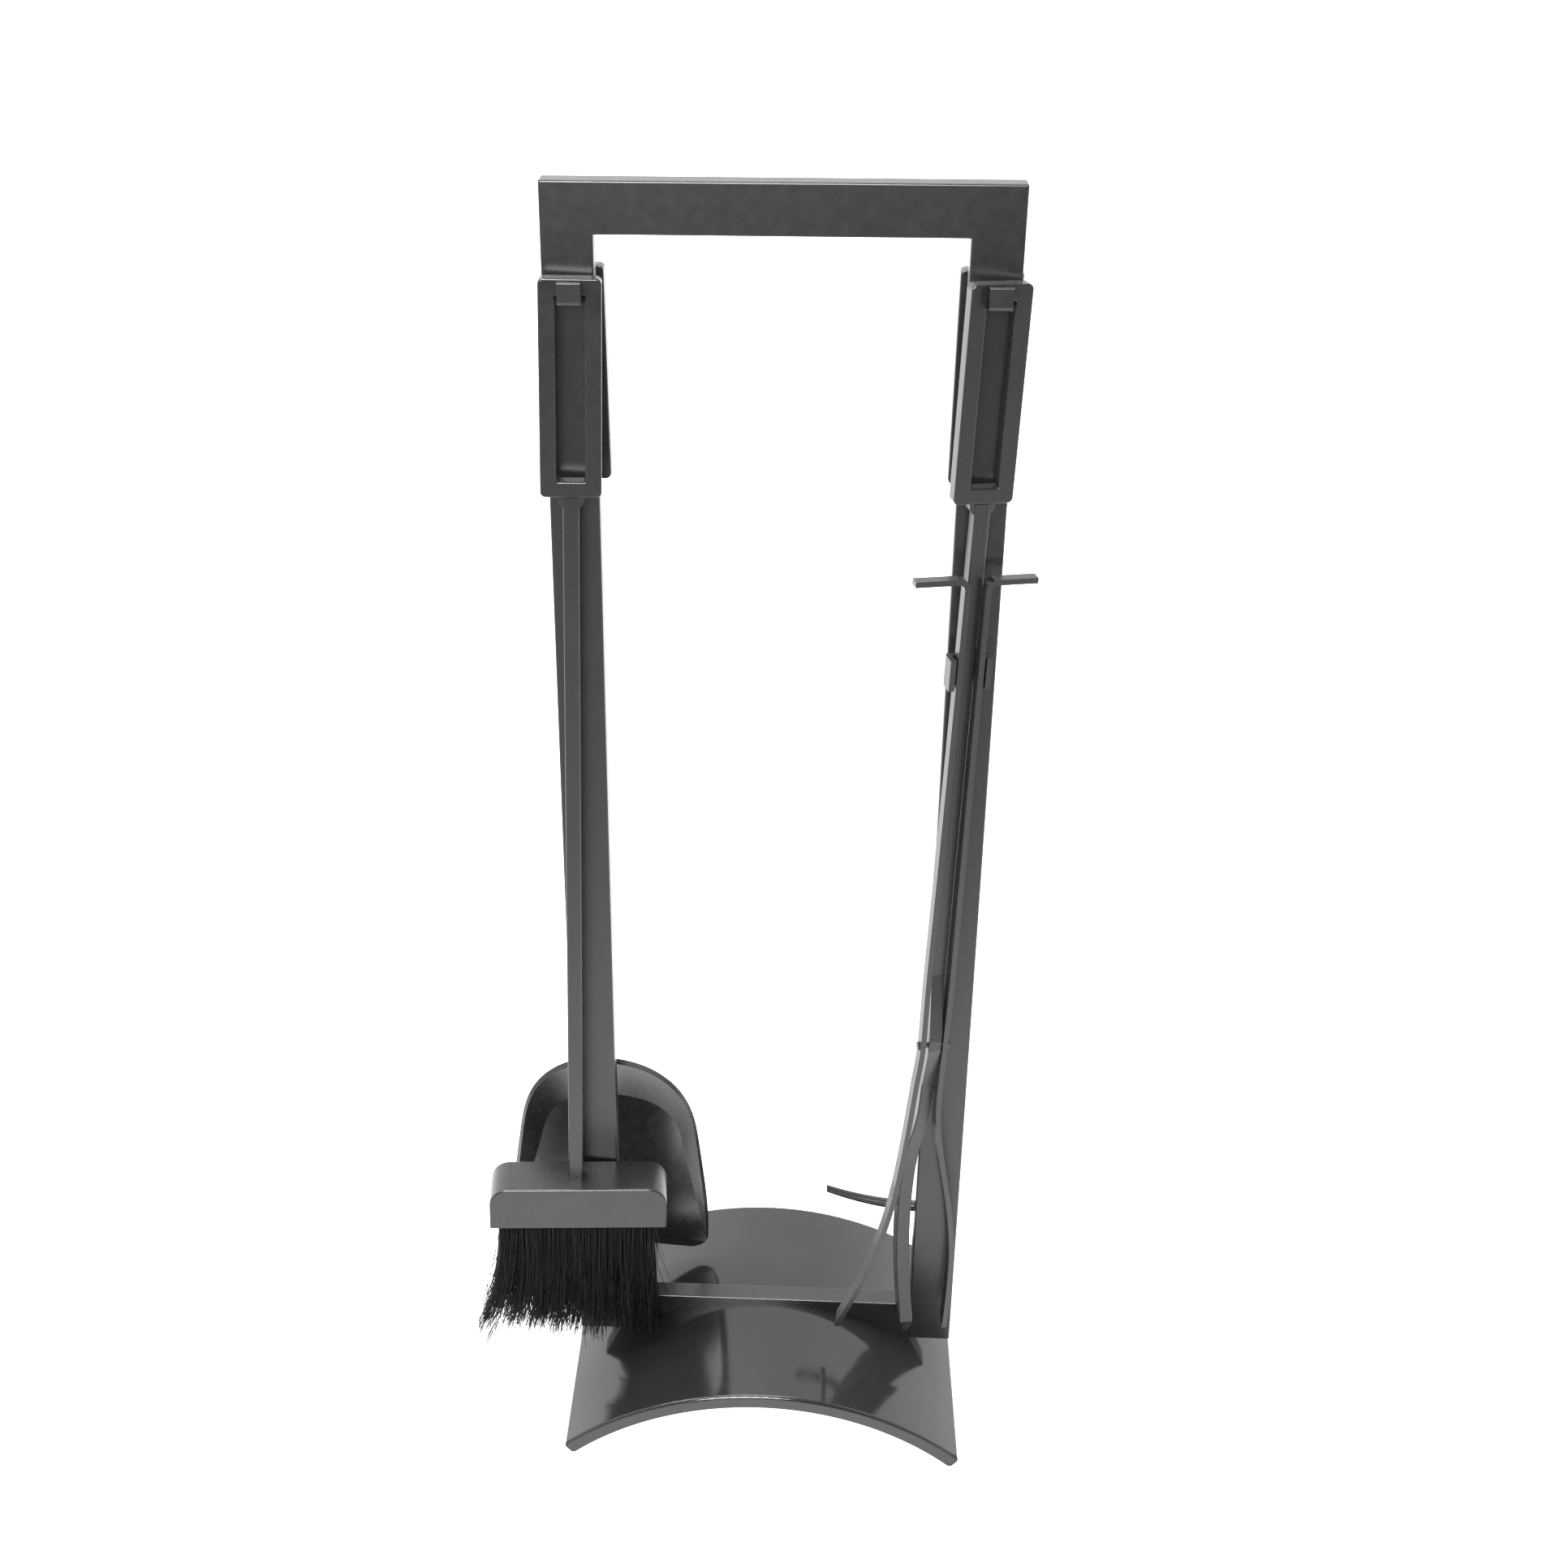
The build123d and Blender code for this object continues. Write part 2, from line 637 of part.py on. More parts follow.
def pivot_lug():
    """Ramped lug on the front of the shaft that carries the rivet."""
    root = -SHAFT / 2
    top = RIVET_Z + LUG_TALL / 2
    low = RIVET_Z - LUG_TALL / 2
    points = [(root, top + LUG_RAMP_UP), (LUG_FRONT, top), (LUG_FRONT, low), (root, low - LUG_RAMP_DOWN)]
    block = side_prism(points, LUG_LEFT, LUG_RIGHT)
    front_edges = block.edges().filter_by(Axis.Z)
    block = fillet([e for e in front_edges if abs(e.center().Y - LUG_FRONT) < NEAR], LUG_EDGE)
    bore = Pos(0, RIVET_Y, RIVET_Z) * Rot(0, 90, 0) * Cylinder(RIVET_BORE_R, HANDLE_WIDE)
    return block - bore - tongs_shaft()


def guide_ear(inner_x):
    """Angle strip welded to the side of the shaft, its leg running along the outside of one arm."""
    side = 1 if inner_x > 0 else -1
    outer_x = inner_x + side * GUIDE_THICK
    root_x = side * SHAFT / 2
    low = GUIDE_TOP - GUIDE_TALL
    web_front = -SHAFT / 2 + GUIDE_GAP / 2
    points = [
        (root_x, GUIDE_BACK),
        (outer_x, GUIDE_BACK),
        (outer_x, GUIDE_FRONT),
        (inner_x, GUIDE_FRONT),
        (inner_x, web_front),
        (root_x, web_front),
    ]
    face = Pos(0, 0, low) * make_face(Polyline(*points, close=True))
    ear = extrude(face, GUIDE_TALL, dir=(0, 0, 1))
    upright_edges = ear.edges().filter_by(Axis.Z)
    outer = [e for e in upright_edges if abs(e.center().X - outer_x) < NEAR]
    bend = [e for e in outer if e.center().Y > web_front]
    return fillet(bend, GUIDE_BEND)


def guide_x(points, side):
    """Inner face of the guide ear beside one arm."""
    reach = max(side * x for x, z in points if z > GUIDE_REACH_Z)
    return side * (reach + STRIP_THICK / 2 + GUIDE_GAP)


def guide_beads():
    """Weld beads behind both guide ears, along the sides of the shaft."""
    beads = []
    for side in (-1, 1):
        root_x = side * SHAFT / 2
        tip_x = root_x + side * GUIDE_BEAD
        points = [(root_x, GUIDE_BACK), (tip_x, GUIDE_BACK), (root_x, GUIDE_BACK + GUIDE_BEAD)]
        face = Pos(0, 0, GUIDE_TOP - GUIDE_TALL) * make_face(Polyline(*points, close=True))
        beads.append(extrude(face, GUIDE_TALL, dir=(0, 0, 1)))
    return together(beads)


def stand_pieces():
    """Everything that stays fixed to the stand."""
    left, right, top = frame_pieces()
    pieces = {"base_plate": base_plate(), "left_upright": left, "right_upright": right}
    pieces["top_bar"] = top
    pieces["cross_bar"] = cross_bar()
    pieces["hook_front_left"] = hook(HOOK_FRONT_X[0], -1)
    pieces["hook_front_right"] = hook(HOOK_FRONT_X[1], -1)
    pieces["hook_back_left"] = hook(HOOK_BACK_X[0], 1)
    pieces["hook_back_right"] = hook(HOOK_BACK_X[1], 1)
    beads = [hook_bead(x, -1) for x in HOOK_FRONT_X] + [hook_bead(x, 1) for x in HOOK_BACK_X]
    pieces["hook_beads"] = together(beads)
    screws = [base_screw_parts(angle)[0] for angle in (-SCREW_ANGLE, SCREW_ANGLE)]
    pieces["base_screws"] = together(screws)
    return pieces


def tool_pieces():
    """Every tool piece, moved to where its tool hangs."""
    drawn = {
        "brush_handle": (handle(), BRUSH_HANGS),
        "brush_handle_bead": (handle_bead(), BRUSH_HANGS),
        "brush_shaft": (straight_shaft(BRUSH_HEAD_TOP), BRUSH_HANGS),
        "brush_shell": (brush_shell(), BRUSH_HANGS),
        "brush_block": (brush_block(), BRUSH_HANGS),
        "bristles": (bristles(), BRUSH_HANGS),
        "shovel_handle": (handle(), SHOVEL_HANGS),
        "shovel_handle_bead": (handle_bead(), SHOVEL_HANGS),
        "shovel_shaft": (shovel_shaft(), SHOVEL_HANGS),
        "shovel_pan": (shovel_pan(), SHOVEL_HANGS),
        "shovel_pan_bead": (pan_bead(), SHOVEL_HANGS),
        "poker_handle": (handle(), POKER_HANGS),
        "poker_handle_bead": (handle_bead(), POKER_HANGS),
        "poker_shaft": (poker_shaft(), POKER_HANGS),
        "poker_prong": (poker_prong(), POKER_HANGS),
        "poker_prong_bead": (prong_bead(), POKER_HANGS),
        "tongs_handle": (handle(), TONGS_HANGS),
        "tongs_handle_bead": (handle_bead(), TONGS_HANGS),
        "tongs_shaft": (tongs_shaft(), TONGS_HANGS),
        "tongs_lug": (pivot_lug(), TONGS_HANGS),
        "guide_ear_left": (guide_ear(guide_x(LEFT_ARM, -1)), TONGS_HANGS),
        "guide_ear_right": (guide_ear(guide_x(RIGHT_ARM, 1)), TONGS_HANGS),
        "guide_beads": (guide_beads(), TONGS_HANGS),
        "fork_arm_left": (fork_arm(LEFT_ARM, LEFT_TAB_END), TONGS_HANGS),
        "fork_arm_right": (fork_arm(RIGHT_ARM, RIGHT_TAB_END), TONGS_HANGS),
        "fork_rivet": (rivet(), TONGS_HANGS),
    }
    return {name: hang(shape, place) for name, (shape, place) in drawn.items()}


os.makedirs("parts", exist_ok=True)
pieces = stand_pieces()
pieces.update(tool_pieces())
for name, shape in pieces.items():
    shape = Pos(FRAME_MIDDLE_X, 0, 0) * shape
    export_step(shape, f"parts/{name}.step")
    box = shape.bounding_box()
    print(f"{name:22s} solids {len(shape.solids())} volume {shape.volume:10.1f}", box.min, box.max)
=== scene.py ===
import json
import math
import random
import bpy
from mathutils import Matrix, Vector


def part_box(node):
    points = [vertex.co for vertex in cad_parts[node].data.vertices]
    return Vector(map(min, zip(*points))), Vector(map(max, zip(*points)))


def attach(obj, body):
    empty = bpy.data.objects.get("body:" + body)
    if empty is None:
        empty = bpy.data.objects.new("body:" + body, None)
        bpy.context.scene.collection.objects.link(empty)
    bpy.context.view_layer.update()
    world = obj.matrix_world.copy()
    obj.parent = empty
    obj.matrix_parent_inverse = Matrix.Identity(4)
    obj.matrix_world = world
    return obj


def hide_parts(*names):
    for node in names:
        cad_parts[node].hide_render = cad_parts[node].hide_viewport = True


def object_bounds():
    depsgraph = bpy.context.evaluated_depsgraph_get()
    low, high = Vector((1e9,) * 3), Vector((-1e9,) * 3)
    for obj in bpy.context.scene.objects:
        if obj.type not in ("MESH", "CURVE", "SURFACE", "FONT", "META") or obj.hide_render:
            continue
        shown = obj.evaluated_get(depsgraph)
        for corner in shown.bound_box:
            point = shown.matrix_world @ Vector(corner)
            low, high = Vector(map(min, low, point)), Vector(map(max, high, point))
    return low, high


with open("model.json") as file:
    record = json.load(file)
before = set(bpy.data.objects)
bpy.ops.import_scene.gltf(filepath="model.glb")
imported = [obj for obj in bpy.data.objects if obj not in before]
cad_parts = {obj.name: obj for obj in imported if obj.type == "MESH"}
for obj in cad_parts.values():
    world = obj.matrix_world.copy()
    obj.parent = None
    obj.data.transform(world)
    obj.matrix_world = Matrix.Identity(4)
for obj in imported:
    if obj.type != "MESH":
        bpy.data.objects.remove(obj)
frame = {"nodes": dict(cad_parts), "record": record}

first_low, first_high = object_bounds()
nodes = frame["nodes"]
SEED = 17
rng = random.Random(SEED)

# ---------------------------------------------------------------- numbers (metres, radians)
NOISE_LOW, NOISE_HIGH = 0.3, 0.7
WHITE = (1.0, 1.0, 1.0, 1.0)

# paint: mottling, gloss change and weld ripple
MOTTLE_SCALE = 30.0
GLOSS_SCALE = 160.0
RIPPLE_SCALE, RIPPLE_DEPTH, WELD_RIPPLE = 600.0, 0.0006, 0.3
PAINT_IOR, PAN_IOR = 1.5, 2.2

# metal, fibre and wood
METAL_TONE_SCALE, METAL_GLOSS_SCALE = 260.0, 900.0
FIBRE_DRAWN, FIBRE_SCALE, FIBRE_SPECULAR = 0.06, 520.0, 0.2
WOOD_TONE_SCALE, WOOD_GLOSS_SCALE = 90.0, 300.0

# brush head: its lean, tilt and turn, and where the strands start
HEAD_LEAN, HEAD_TILT, HEAD_TURN = math.radians(1.3), math.radians(-0.93), math.radians(5.0)
ROOT_LEFT, ROOT_RIGHT, ROOT_DEEP = -0.0462, 0.0440, 0.0098
ROOT_SINK = 0.0015

# strands: how long they are, and how they bend, wave and gather in tufts
STRANDS = 2600
TUFTS_ALONG, TUFTS_DEEP = 17, 5
TUFT_LEAN_X, TUFT_LEAN_Y, TUFT_LENGTH = 0.0034, 0.0018, 0.026
FALL = 0.0860
SHORTER_LEFT, RAGGED, LONGER = 0.04, 0.0042, 0.0012
FLARE_LEFT, FLARE_RIGHT = -0.0125, 0.0030
DRIFT_X, DRIFT_Y, SPREAD_DEEP = 0.0018, 0.0016, 0.28
WAVE_LOW, WAVE_HIGH = 0.0003, 0.0014
TURNS_LOW, TURNS_HIGH = 0.8, 2.4
CURL_LOW, CURL_HIGH = 1.3, 2.6
LATE_LOW, LATE_HIGH = 2.6, 4.2
WILD_SHARE, WILDNESS = 0.13, 2.4
STRAND_STEPS, STRAND_SIDES = 8, 3
STRAND_ROOT_LOW, STRAND_ROOT_HIGH, STRAND_TIP = 0.00022, 0.00034, 0.00013
LEFT_REACH, LEFT_SQUEEZE = 0.0058, 0.2

# strays: root x, root y, how far the tip drifts in x and y, and how far it hangs down
STRAYS = [
    (0.0425, -0.0080, 0.0170, -0.0020, 0.0600),
    (0.0430, -0.0060, 0.0070, -0.0030, 0.0290),
    (0.0420, 0.0020, 0.0045, 0.0020, 0.0240),
    (0.0436, -0.0070, 0.0035, -0.0030, 0.0180),
    (0.0430, 0.0050, 0.0050, 0.0040, 0.0480),
    (0.0400, -0.0090, 0.0080, -0.0040, 0.0620),
    (-0.0450, -0.0060, -0.0110, -0.0030, 0.0760),
    (-0.0455, 0.0000, -0.0125, 0.0010, 0.0700),
    (-0.0440, -0.0085, -0.0090, -0.0045, 0.0840),
    (-0.0450, 0.0050, -0.0105, 0.0040, 0.0610),
]
STRAY_STEPS, STRAY_BEND_X, STRAY_BEND_Y = 10, 1.5, 1.8
STRAY_ROOT, STRAY_TIP = 0.00024, 0.00009

# floor: its edges, and the glow that fades towards the front
FLOOR_SIDE, FLOOR_FRONT, FLOOR_BACK = 14, -1.9, 24
FLOOR_DARK, FLOOR_LIGHT, FLOOR_TONE_SCALE, FLOOR_ROUGHNESS = 0.49, 0.52, 3.0, 0.9
GLOW_STARTS, GLOW_FULL, GLOW_LEAST, GLOW_MOST = -0.80, -0.26, 0.25, 1.6

# studio: brightness from front to back, on the left and on the right
FRONT_ENDS, BACK_STARTS, FRONT_LIGHT, BACK_LIGHT = -0.45, 0.35, 0.10, 1.55
LEFT_FULL, LEFT_ENDS, LEFT_LIGHT = -0.95, 0.1, 0.9
RIGHT_STARTS, RIGHT_FULL, RIGHT_LIGHT = 0.35, 0.95, 0.9

# lamps
SUN_ENERGY, SUN_SOFTNESS = 2.6, math.radians(50)
SUN_TILT, SUN_TURN = math.radians(-16), math.radians(-14)
DISK_SIZE, DISK_ENERGY, DISK_AWAY = 0.95, 90.0, 2.0
DISK_TOWARDS = (-0.10, -0.75, 0.65)

# camera
YAW, PITCH, ROLL = -0.0514, -0.4609, -0.0011
SENSOR, LENS = 36.0, 45.73
SHIFT_X, SHIFT_Y = 0.0489, -0.0422
CAMERA_AT = (0.02954, -0.93012, 0.90253)


# ---------------------------------------------------------------- materials
def link(tree, a, b):
    tree.links.new(a, b)


def new_material(name):
    mat = bpy.data.materials.new(name)
    mat.use_nodes = True
    tree = mat.node_tree
    return mat, tree, tree.nodes["Principled BSDF"]


def ramp(tree, source, stops):
    """Colour along the source: the stops are (place, colour) pairs, in order."""
    node = tree.nodes.new("ShaderNodeValToRGB")
    node.color_ramp.elements[0].position = stops[0][0]
    node.color_ramp.elements[0].color = (*stops[0][1], 1.0)
    node.color_ramp.elements[1].position = stops[-1][0]
    node.color_ramp.elements[1].color = (*stops[-1][1], 1.0)
    for place, colour in stops[1:-1]:
        extra = node.color_ramp.elements.new(place)
        extra.color = (*colour, 1.0)
    link(tree, source, node.inputs["Fac"])
    return node.outputs["Color"]


def coordinates(tree, kind):
    return tree.nodes.new("ShaderNodeTexCoord").outputs[kind]


def noise(tree, scale, detail=3.0, rough=0.5):
    node = tree.nodes.new("ShaderNodeTexNoise")
    node.inputs["Scale"].default_value = scale
    node.inputs["Detail"].default_value = detail
    node.inputs["Roughness"].default_value = rough
    link(tree, coordinates(tree, "Object"), node.inputs["Vector"])
    return node.outputs["Fac"]


def map_range(tree, source, start, end, low, high, steps="LINEAR"):
    """The source between start and end, spread over low to high."""
    node = tree.nodes.new("ShaderNodeMapRange")
    node.interpolation_type = steps
    node.inputs["From Min"].default_value = start
    node.inputs["From Max"].default_value = end
    node.inputs["To Min"].default_value = low
    node.inputs["To Max"].default_value = high
    link(tree, source, node.inputs["Value"])
    return node.outputs["Result"]


def tones(tree, source, dark, light):
    return ramp(tree, source, [(NOISE_LOW, dark), (NOISE_HIGH, light)])


def to_range(tree, source, low, high):
    return map_range(tree, source, NOISE_LOW, NOISE_HIGH, low, high)


def bump(tree, shader, source, strength, distance):
    node = tree.nodes.new("ShaderNodeBump")
    node.inputs["Strength"].default_value = strength
    node.inputs["Distance"].default_value = distance
    link(tree, source, node.inputs["Height"])
    link(tree, node.outputs["Normal"], shader.inputs["Normal"])


def painted(name, dark, light, rough_low, rough_high, ior=PAINT_IOR, ripple=0.0):
    """Sprayed paint: slow mottling in colour and a finer change in gloss; weld beads are rippled too."""
    mat, tree, shader = new_material(name)
    slow = noise(tree, MOTTLE_SCALE, 2.0, 0.5)
    link(tree, tones(tree, slow, dark, light), shader.inputs["Base Color"])
    fine = noise(tree, GLOSS_SCALE, 2.0, 0.5)
    link(tree, to_range(tree, fine, rough_low, rough_high), shader.inputs["Roughness"])
    if ripple > 0:
        bump(tree, shader, noise(tree, RIPPLE_SCALE, 1.0, 0.4), ripple, RIPPLE_DEPTH)
    shader.inputs["IOR"].default_value = ior
    shader.inputs["Metallic"].default_value = 0.0
    return mat


def plain_metal(name, dark, light, rough_low, rough_high):
    mat, tree, shader = new_material(name)
    tone = noise(tree, METAL_TONE_SCALE)
    link(tree, tones(tree, tone, dark, light), shader.inputs["Base Color"])
    gloss = noise(tree, METAL_GLOSS_SCALE)
    link(tree, to_range(tree, gloss, rough_low, rough_high), shader.inputs["Roughness"])
    shader.inputs["Metallic"].default_value = 1.0
    return mat


def fibre(name):
    """Dark fibre: its tone changes across the strands and hardly along them, as the noise is drawn out; a
    few strands carry a painted highlight.
    """
    mat, tree, shader = new_material(name)
    drawn = tree.nodes.new("ShaderNodeMapping")
    drawn.inputs["Scale"].default_value = (1.0, 1.0, FIBRE_DRAWN)
    link(tree, coordinates(tree, "Object"), drawn.inputs["Vector"])
    tone = tree.nodes.new("ShaderNodeTexNoise")
    tone.inputs["Scale"].default_value = FIBRE_SCALE
    tone.inputs["Detail"].default_value = 2.0
    link(tree, drawn.outputs["Vector"], tone.inputs["Vector"])
    # the lightest stop is partly the fibre's own brownish grey and partly a painted highlight on a few
    # strands
    stops = [(0.36, (0.003, 0.0028, 0.0028)), (0.6, (0.008, 0.0072, 0.007)), (0.74, (0.03, 0.027, 0.025))]
    link(tree, ramp(tree, tone.outputs["Fac"], stops), shader.inputs["Base Color"])
    link(tree, to_range(tree, tone.outputs["Fac"], 0.38, 0.6), shader.inputs["Roughness"])
    shader.inputs["Specular IOR Level"].default_value = FIBRE_SPECULAR
    return mat


def timber(name):
    mat, tree, shader = new_material(name)
    tone = noise(tree, WOOD_TONE_SCALE, 5.0, 0.6)
    link(tree, tones(tree, tone, (0.20, 0.12, 0.06), (0.34, 0.22, 0.12)), shader.inputs["Base Color"])
    gloss = noise(tree, WOOD_GLOSS_SCALE)
    link(tree, to_range(tree, gloss, 0.55, 0.7), shader.inputs["Roughness"])
    return mat


materials = {
    "frame_paint": painted("frame_paint", (0.022, 0.0235, 0.0215), (0.027, 0.0285, 0.0265), 0.28, 0.32),
    "plate_paint": painted("plate_paint", (0.024, 0.025, 0.024), (0.030, 0.031, 0.030), 0.09, 0.14),
    "tool_paint": painted("tool_paint", (0.025, 0.0265, 0.0245), (0.031, 0.0325, 0.0305), 0.26, 0.30),
    "pan_paint": painted("pan_paint", (0.019, 0.020, 0.019), (0.025, 0.026, 0.025), 0.24, 0.28, PAN_IOR),
    "weld_paint": painted(
        "weld_paint", (0.036, 0.038, 0.035), (0.052, 0.054, 0.050), 0.22, 0.34, ripple=WELD_RIPPLE
    ),
    "rivet_steel": painted("rivet_steel", (0.044, 0.046, 0.043), (0.058, 0.060, 0.056), 0.24, 0.32),
    "screw_steel": plain_metal("screw_steel", (0.34, 0.34, 0.35), (0.46, 0.46, 0.47), 0.3, 0.4),
    "bristle": fibre("bristle"),
    "block_wood": timber("block_wood"),
}

for entry in frame["record"]["subparts"]:
    obj = nodes[entry["node"]]
    obj.data.materials.clear()
    obj.data.materials.append(materials[entry["material_slot"]])


# ---------------------------------------------------------------- bristles
def brush_matrix():
    """The brush head's own axes: the origin is below the middle of the cap, where the bristles start."""
    low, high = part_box("bristles")
    cap_low, cap_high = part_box("brush_shell")
    middle = (Vector(cap_low) + Vector(cap_high)) / 2
    turn = Matrix.Rotation(HEAD_LEAN, 4, "Y") @ Matrix.Rotation(HEAD_TILT, 4, "X")
    turn = turn @ Matrix.Rotation(HEAD_TURN, 4, "Z")
    return Matrix.Translation((middle.x, middle.y, high[2] - ROOT_SINK)) @ turn


def strand_path(tuft_shift, root, wild):
    """Points of one strand: it falls, drifts with its tuft, bends and waves a little."""
    side = (root[0] - ROOT_LEFT) / (ROOT_RIGHT - ROOT_LEFT)
    flare = FLARE_LEFT * (1.0 - side) ** 2 + FLARE_RIGHT * side ** 3
    drift_x = tuft_shift[0] + rng.gauss(0, DRIFT_X) * wild
    drift_y = root[1] * SPREAD_DEEP + tuft_shift[1] + rng.gauss(0, DRIFT_Y) * wild
    fall = FALL * (1.0 + tuft_shift[2] - SHORTER_LEFT * (1.0 - side)) - abs(rng.gauss(0, RAGGED)) + LONGER
    wave = rng.uniform(WAVE_LOW, WAVE_HIGH) * wild
    phase = rng.uniform(0, math.tau)
    turns = rng.uniform(TURNS_LOW, TURNS_HIGH)
    curl = rng.uniform(CURL_LOW, CURL_HIGH)
    late = rng.uniform(LATE_LOW, LATE_HIGH)
    points = []
    for i in range(STRAND_STEPS + 1):
        t = i / STRAND_STEPS
        sway = wave * t * math.sin(phase + turns * math.tau * t)
        x = root[0] + drift_x * t ** curl + flare * t ** late + sway
        y = root[1] + drift_y * t ** curl + wave * t * math.cos(phase + turns * math.tau * t)
        points.append(Vector((x, y, -fall * t)))
    return points


def stray_path(x, y, out_x, out_y, fall):
    """Points of one stray: it leaves the bundle in a single bow."""
    points = []
    for i in range(STRAY_STEPS + 1):
        t = i / STRAY_STEPS
        points.append(Vector((x + out_x * t ** STRAY_BEND_X, y + out_y * t ** STRAY_BEND_Y, -fall * t)))
    return points


def add_strand(verts, faces, points, root_r, tip_r):
    """A tapered tube along the points, closed at both ends."""
    first = len(verts)
    spin = rng.uniform(0, math.tau)
    count = len(points)
    for i, spot in enumerate(points):
        t = i / (count - 1)
        radius = root_r + (tip_r - root_r) * t * t
        for k in range(STRAND_SIDES):
            angle = spin + k * math.tau / STRAND_SIDES
            verts.append(spot + Vector((math.cos(angle), math.sin(angle), 0)) * radius)
    for i in range(count - 1):
        for k in range(STRAND_SIDES):
            a = first + STRAND_SIDES * i + k
            b = first + STRAND_SIDES * i + (k + 1) % STRAND_SIDES
            faces.append((a, b, b + STRAND_SIDES, a + STRAND_SIDES))
    last = first + STRAND_SIDES * (count - 1)
    faces.append(tuple(range(last, last + STRAND_SIDES)))
    faces.append(tuple(reversed(range(first, first + STRAND_SIDES))))


def tuft_shifts():
    """For each tuft, how far its tip leans in x and y, and its change in length."""
    shifts = {}
    for col in range(TUFTS_ALONG):
        for row in range(TUFTS_DEEP):
            lean_x = rng.gauss(0, TUFT_LEAN_X)
            lean_y = rng.gauss(0, TUFT_LEAN_Y)
            shifts[(col, row)] = (lean_x, lean_y, rng.gauss(0, TUFT_LENGTH))
    return shifts


def keep_near(spots):
    """Draw in what stands out too far on the left."""
    edge = first_low[0] - LEFT_REACH
    for spot in spots:
        if spot.x < edge:
            spot.x = edge + LEFT_SQUEEZE * (spot.x - edge)


def make_bristles():
    """All strands in tufts, plus a few strays, as one mesh."""
    verts, faces = [], []
    tufts = tuft_shifts()
    for _ in range(STRANDS):
        x = rng.uniform(ROOT_LEFT, ROOT_RIGHT)
        y = rng.uniform(-ROOT_DEEP, ROOT_DEEP)
        col = min(int((x - ROOT_LEFT) / (ROOT_RIGHT - ROOT_LEFT) * TUFTS_ALONG), TUFTS_ALONG - 1)
        row = min(int((y + ROOT_DEEP) / (2 * ROOT_DEEP) * TUFTS_DEEP), TUFTS_DEEP - 1)
        wild = WILDNESS if rng.random() < WILD_SHARE else 1.0
        path = strand_path(tufts[(col, row)], (x, y), wild)
        add_strand(verts, faces, path, rng.uniform(STRAND_ROOT_LOW, STRAND_ROOT_HIGH), STRAND_TIP)
    for stray in STRAYS:
        add_strand(verts, faces, stray_path(*stray), STRAY_ROOT, STRAY_TIP)
    place = brush_matrix()
    spots = [place @ v for v in verts]
    keep_near(spots)
    mesh = bpy.data.meshes.new("bristle_strands")
    mesh.from_pydata([tuple(spot) for spot in spots], [], faces)
    mesh.polygons.foreach_set("use_smooth", [True] * len(mesh.polygons))
    mesh.materials.append(materials["bristle"])
    obj = bpy.data.objects.new("bristle_strands", mesh)
    bpy.context.scene.collection.objects.link(obj)
    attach(obj, "brush")
    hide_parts("bristles")


make_bristles()


# ---------------------------------------------------------------- stage
def on_stage(name, data):
    """A new object that belongs to the studio, not to the part."""
    obj = bpy.data.objects.new(name, data)
    bpy.context.scene.collection.objects.link(obj)
    return obj


def smooth_range(tree, source, start, end, low, high):
    return map_range(tree, source, start, end, low, high, "SMOOTHSTEP")


def axis_outputs(tree, kind):
    node = tree.nodes.new("ShaderNodeSeparateXYZ")
    link(tree, coordinates(tree, kind), node.inputs["Vector"])
    return node.outputs


def combined(tree, operation, first, second):
    node = tree.nodes.new("ShaderNodeMath")
    node.operation = operation
    link(tree, first, node.inputs[0])
    link(tree, second, node.inputs[1])
    return node.outputs["Value"]


def make_floor():
    """A pale floor that glows, and less so towards the front."""
    mat, tree, shader = new_material("floor_white")
    tone = noise(tree, FLOOR_TONE_SCALE)
    link(tree, tones(tree, tone, (FLOOR_DARK,) * 3, (FLOOR_LIGHT,) * 3), shader.inputs["Base Color"])
    shader.inputs["Roughness"].default_value = FLOOR_ROUGHNESS
    shader.inputs["Specular IOR Level"].default_value = 0.0
    shader.inputs["Emission Color"].default_value = WHITE
    depth = axis_outputs(tree, "Object")["Y"]
    glow = smooth_range(tree, depth, GLOW_STARTS, GLOW_FULL, GLOW_LEAST, GLOW_MOST)
    link(tree, glow, shader.inputs["Emission Strength"])
    corners = [
        (-FLOOR_SIDE, FLOOR_FRONT, 0),
        (FLOOR_SIDE, FLOOR_FRONT, 0),
        (FLOOR_SIDE, FLOOR_BACK, 0),
        (-FLOOR_SIDE, FLOOR_BACK, 0),
    ]
    mesh = bpy.data.meshes.new("floor")
    mesh.from_pydata(corners, [], [(0, 1, 2, 3)])
    mesh.materials.append(mat)
    on_stage("floor", mesh)


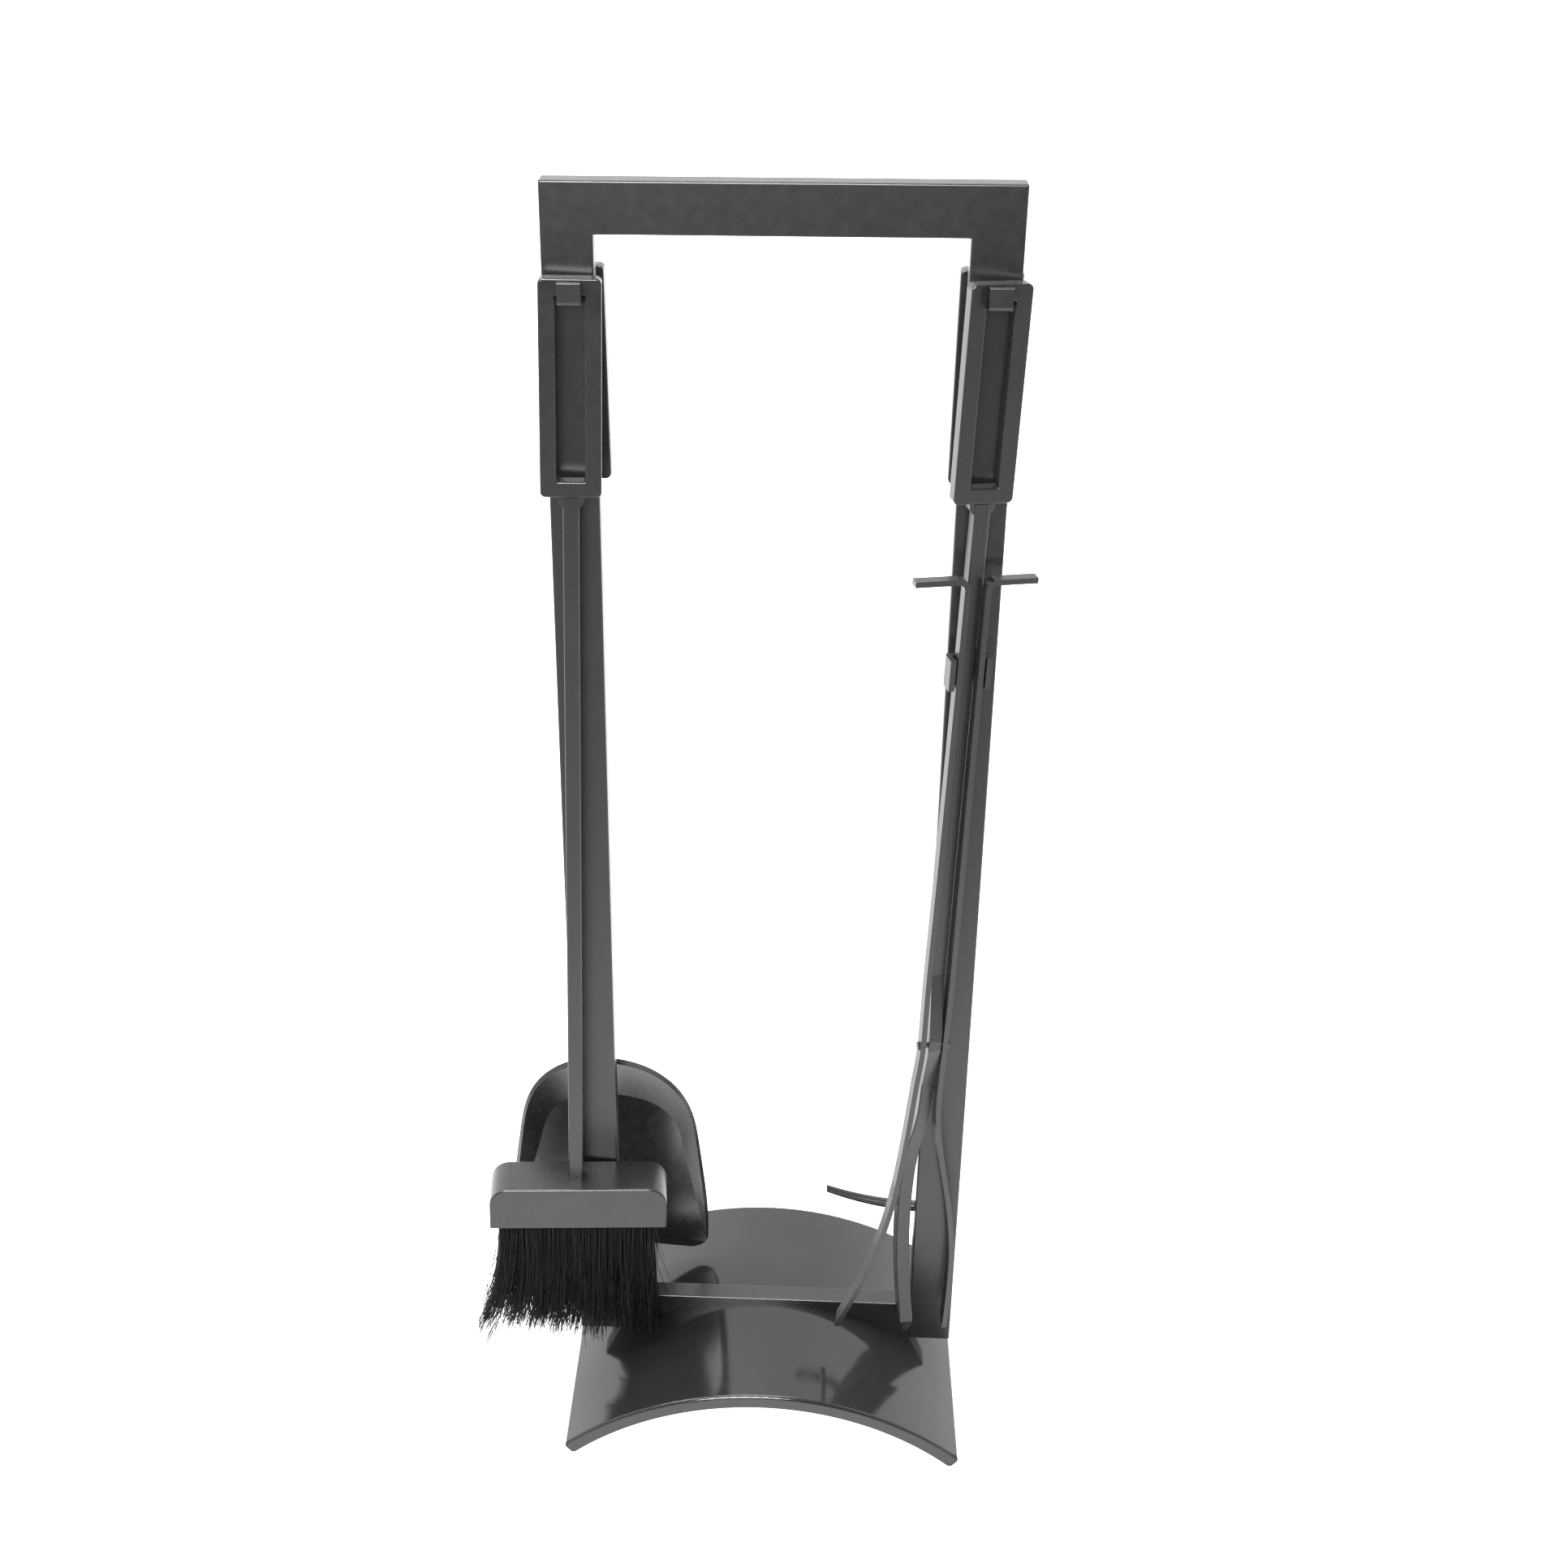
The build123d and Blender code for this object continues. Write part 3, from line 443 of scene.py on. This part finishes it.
def make_world():
    """Soft light that is weak from the front and strong from the back and both sides."""
    world = bpy.data.worlds.new("studio")
    bpy.context.scene.world = world
    world.use_nodes = True
    sky = world.node_tree
    background = sky.nodes["Background"]
    axes = axis_outputs(sky, "Generated")
    back = smooth_range(sky, axes["Y"], FRONT_ENDS, BACK_STARTS, FRONT_LIGHT, BACK_LIGHT)
    left = smooth_range(sky, axes["X"], LEFT_FULL, LEFT_ENDS, LEFT_LIGHT, 0.0)
    right = smooth_range(sky, axes["X"], RIGHT_STARTS, RIGHT_FULL, 0.0, RIGHT_LIGHT)
    light = combined(sky, "ADD", combined(sky, "ADD", back, left), right)
    seen = sky.nodes.new("ShaderNodeLightPath").outputs["Is Camera Ray"]
    link(sky, combined(sky, "MAXIMUM", light, seen), background.inputs["Strength"])
    background.inputs["Color"].default_value = WHITE


def make_lamps():
    """A wide sun overhead, and a disk in front that shows only in reflections."""
    sun_data = bpy.data.lights.new("overhead", "SUN")
    sun_data.energy = SUN_ENERGY
    sun_data.angle = SUN_SOFTNESS
    sun = on_stage("overhead", sun_data)
    sun.rotation_euler = (SUN_TILT, SUN_TURN, 0)
    disk_data = bpy.data.lights.new("edge_light", "AREA")
    disk_data.shape = "DISK"
    disk_data.size = DISK_SIZE
    disk_data.energy = DISK_ENERGY
    disk = on_stage("edge_light", disk_data)
    away = Vector(DISK_TOWARDS).normalized()
    disk.location = away * DISK_AWAY
    disk.rotation_mode = "QUATERNION"
    disk.rotation_quaternion = away.to_track_quat("Z", "Y")
    disk.visible_diffuse = False


def make_camera():
    """The camera at the photograph's viewing angle."""
    ahead = Vector((math.sin(YAW) * math.cos(PITCH), math.cos(YAW) * math.cos(PITCH), math.sin(PITCH)))
    level_right = ahead.cross(Vector((0, 0, 1))).normalized()
    level_up = level_right.cross(ahead)
    right = math.cos(ROLL) * level_right + math.sin(ROLL) * level_up
    up = -math.sin(ROLL) * level_right + math.cos(ROLL) * level_up
    data = bpy.data.cameras.new("camera")
    data.sensor_width = SENSOR
    data.lens = LENS
    data.shift_x = SHIFT_X
    data.shift_y = SHIFT_Y
    camera = bpy.data.objects.new("camera", data)
    rows = [(right[i], up[i], -ahead[i], CAMERA_AT[i]) for i in range(3)]
    camera.matrix_world = Matrix((*rows, (0, 0, 0, 1)))
    bpy.context.scene.collection.objects.link(camera)
    bpy.context.scene.camera = camera


make_floor()
make_world()
make_lamps()
make_camera()
bpy.context.scene.view_settings.view_transform = "Standard"
